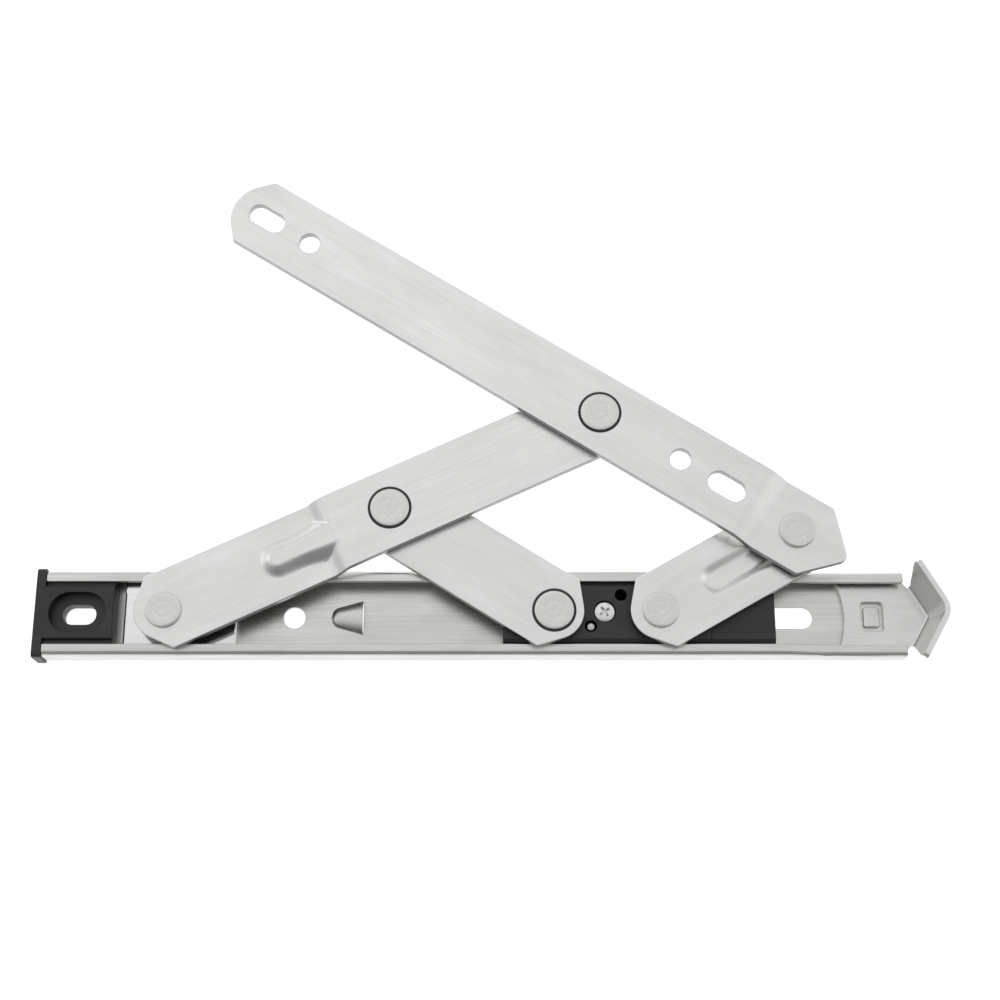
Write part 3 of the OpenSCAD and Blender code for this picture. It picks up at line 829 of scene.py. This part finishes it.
def end_cap():
    """A flange over the track's end and an insert between the lips, with a sunk screw slot."""
    y, high = WALL_Y + 0.4, 7.1
    flange = prism(rounded([(-y, 0), (y, 0), (y, high), (-y, high)], [0.4, 0.4, 0.9, 0.9]),
                   -113.4, -111.05, 0.3)
    neck, wing, step, top = 6.6, WALL_Y - SHEET - 0.05, 5.65, 7.0
    section = [(-wing, SHEET), (wing, SHEET), (wing, step), (neck, step), (neck, top),
               (-neck, top), (-neck, step), (-wing, step)]
    radii = [0.3, 0.3, 0.3, 0.3, 0.5, 0.5, 0.3, 0.3]
    insert = prism(rounded(section, radii, 5), -111.4, -94.2, 0.2)
    x, _, length, width = CAP_SLOT
    sink = pillar(stadium(x, 0, length + 5.9, width + 5.3), 4.4, 9.0)
    insert = cut(insert, [sink, pillar(stadium(*CAP_SLOT), 0.0, 9.0)])
    return finished("end_cap_moulding", join([flange, insert]), "track", ["end_cap"],
                    BLACK_PLASTIC)


def slide_section(wing_top, top):
    """The slider's section: wings that run under the lips and a neck that stands between them."""
    wing, neck, crown, chamfer, base = 9.3, 7.4, 6.5, 0.6, 1.3
    half = [(wing, base), (wing, wing_top), (neck, wing_top), (neck, top - chamfer), (crown, top)]
    return rounded(half + [(-y, z) for y, z in reversed(half)], 0.2, 4)


def slider():
    """The block and its tail, the friction screw, the peg in its hole and an empty hole."""
    screw, peg, empty = (25.5, 0.25), (22.1, -3.4), (29.5, 4.4)
    block = prism(slide_section(5.4, 6.8), 0.7, 51.2, 0.12)
    block = cut(block, [pillar(circle(*screw, 2.75), 5.6, 9)]
                + [pillar(circle(*spot, 1.5, 40), 4.1, 9) for spot in (peg, empty)])
    finished("slider_body_moulding", block, "slider", ["slider_body"], BLACK_PLASTIC)
    tail = prism(slide_section(4.0, 6.2), 51.25, 67.0, 0.12)
    finished("slider_tail_moulding", tail, "slider", ["slider_tail"], BLACK_PLASTIC)
    friction_screw(screw)
    pin = [(0, 6.2), (0.75, 6.2), (0.92, 6.1), (0.95, 5.95), (0.95, 4.15), (0, 4.15)]
    turned("peg_pin_turned", "slider", "peg_pin", peg, pin, PLAIN_STEEL, 48)


def friction_screw(spot):
    """A small screw with a shallow dome and a cross recess."""
    top = 6.7
    dome = [(0, top), (0.9, top - 0.01), (1.7, top - 0.06), (2.2, top - 0.16), (2.5, top - 0.32),
            (2.6, top - 0.55)]
    bm = lathe(dome + [(2.6, 5.65), (1.5, 5.65), (1.5, 2.55), (0, 2.55)], 64)
    reach, half = 1.55, 0.32
    wings = []
    for turn in (35, 125):
        bar = [(-reach, -half), (reach, -half), (reach, half), (-reach, half)]
        arm = pillar(rounded(bar, 0.12), 5.8, 6.85)
        for vert in arm.verts:
            if vert.co.z < 6:
                vert.co.x *= 0.5
                vert.co.y *= 0.6
        arm.transform(Matrix.Rotation(math.radians(turn), 4, "Z"))
        wings.append(arm)
    finished("friction_screw_turned", cut(bm, wings), "slider", ["friction_screw"], SCREW_STEEL,
             (*spot, 0), sharp=38)


def hidden_parts():
    """The slider's core and pad keep their CAD shape and get their own steel and brass."""
    for name, mat in (("slider_core", PLAIN_STEEL), ("friction_pad", PAD_BRASS)):
        part = frame["nodes"][name]
        if not part.material_slots:
            part.data.materials.append(mat)
        for slot in part.material_slots:
            slot.material = mat


# ---------------------------------------------------------------- floor, light and camera
def floor():
    """A lit white table: the object's holes show white, and it casts hardly any shadow."""
    mesh = bpy.data.meshes.new("floor")
    half = 3.0
    corners = [(-half, -half, 0), (half, -half, 0), (half, half, 0), (-half, half, 0)]
    mesh.from_pydata(corners, [], [(0, 1, 2, 3)])
    table = bpy.data.objects.new("floor", mesh)
    table.location.z = -0.4 * MM
    bpy.context.scene.collection.objects.link(table)
    mat, tree, shader = material("floor", (0.9, 0.9, 0.9), 0.0, 0.8)
    grain = stretched_noise(tree, (1, 1, 1), 0.3 / MM, 2)
    white = tint_between(tree, grain, (0.895,) * 3, (0.905,) * 3)
    tree.links.new(white, shader.inputs["Base Color"])
    shader.inputs["Specular IOR Level"].default_value = 0.1
    shader.inputs["Emission Color"].default_value = (1, 1, 1, 1)
    shader.inputs["Emission Strength"].default_value = 0.75
    mesh.materials.append(mat)


def soft_light(name, place, size, watts, aim=(0, 0.03, 0)):
    light = bpy.data.lights.new(name, "AREA")
    light.shape = "RECTANGLE"
    light.size, light.size_y = size
    light.energy = watts
    lamp = bpy.data.objects.new(name, light)
    lamp.location = place
    lamp.rotation_euler = (Vector(aim) - Vector(place)).to_track_quat("-Z", "Y").to_euler()
    bpy.context.scene.collection.objects.link(lamp)


def studio():
    """A white tent, bright overhead, behind and at both sides, and grey at the front."""
    world = bpy.data.worlds.new("studio")
    bpy.context.scene.world = world
    world.use_nodes = True
    tree = world.node_tree
    back = tree.nodes["Background"]
    place = tree.nodes.new("ShaderNodeTexCoord")
    split = tree.nodes.new("ShaderNodeSeparateXYZ")
    tree.links.new(place.outputs["Generated"], split.inputs[0])
    side = math_node(tree, "ABSOLUTE", split.outputs["X"])
    total = 0.0
    for source, share in ((split.outputs["Z"], 0.7), (split.outputs["Y"], 0.55), (side, 0.5)):
        total = math_node(tree, "MULTIPLY_ADD", source, share, total)
    ramp = tree.nodes.new("ShaderNodeValToRGB")
    stops = ((0.0, 0.27), (0.25, 0.33), (0.5, 0.52), (0.68, 0.86), (0.84, 1.0))
    while len(ramp.color_ramp.elements) < len(stops):
        ramp.color_ramp.elements.new(0.5)
    for element, (spot, grey) in zip(ramp.color_ramp.elements, stops):
        element.position = spot
        element.color = (grey, grey, grey, 1)
    tree.links.new(total, ramp.inputs["Fac"])
    tree.links.new(ramp.outputs["Color"], back.inputs["Color"])
    back.inputs["Strength"].default_value = 0.9
    soft_light("top_softbox", (-0.14, 0.42, 0.80), (0.55, 0.35), 0.1)
    soft_light("left_softbox", (-0.8, 0.3, 0.4), (0.5, 0.5), 0.35)
    soft_light("right_softbox", (0.8, 0.1, 0.4), (0.4, 0.5), 0.2)
    bpy.context.scene.view_settings.view_transform = "Standard"


def camera():
    """Looks down at the stay from the front, a little off upright."""
    tilt, away = math.radians(18.2), 0.4253
    data = bpy.data.cameras.new("camera")
    data.sensor_width = 36
    data.lens = 36 * 1.681
    cam = bpy.data.objects.new("camera", data)
    aim = Vector((0, 0.03103, 0))
    cam.location = aim + away * Vector((0, -math.sin(tilt), math.cos(tilt)))
    cam.rotation_euler = (tilt, 0, 0)
    bpy.context.scene.collection.objects.link(cam)
    bpy.context.scene.camera = cam


camera()
studio()
floor()
track()
nose_plate()
pivot_seat()
end_cap()
slider()
hidden_parts()
long_arm()
short_link()
short_arm()
sash_arm()
bushes()
rings()
rivets()
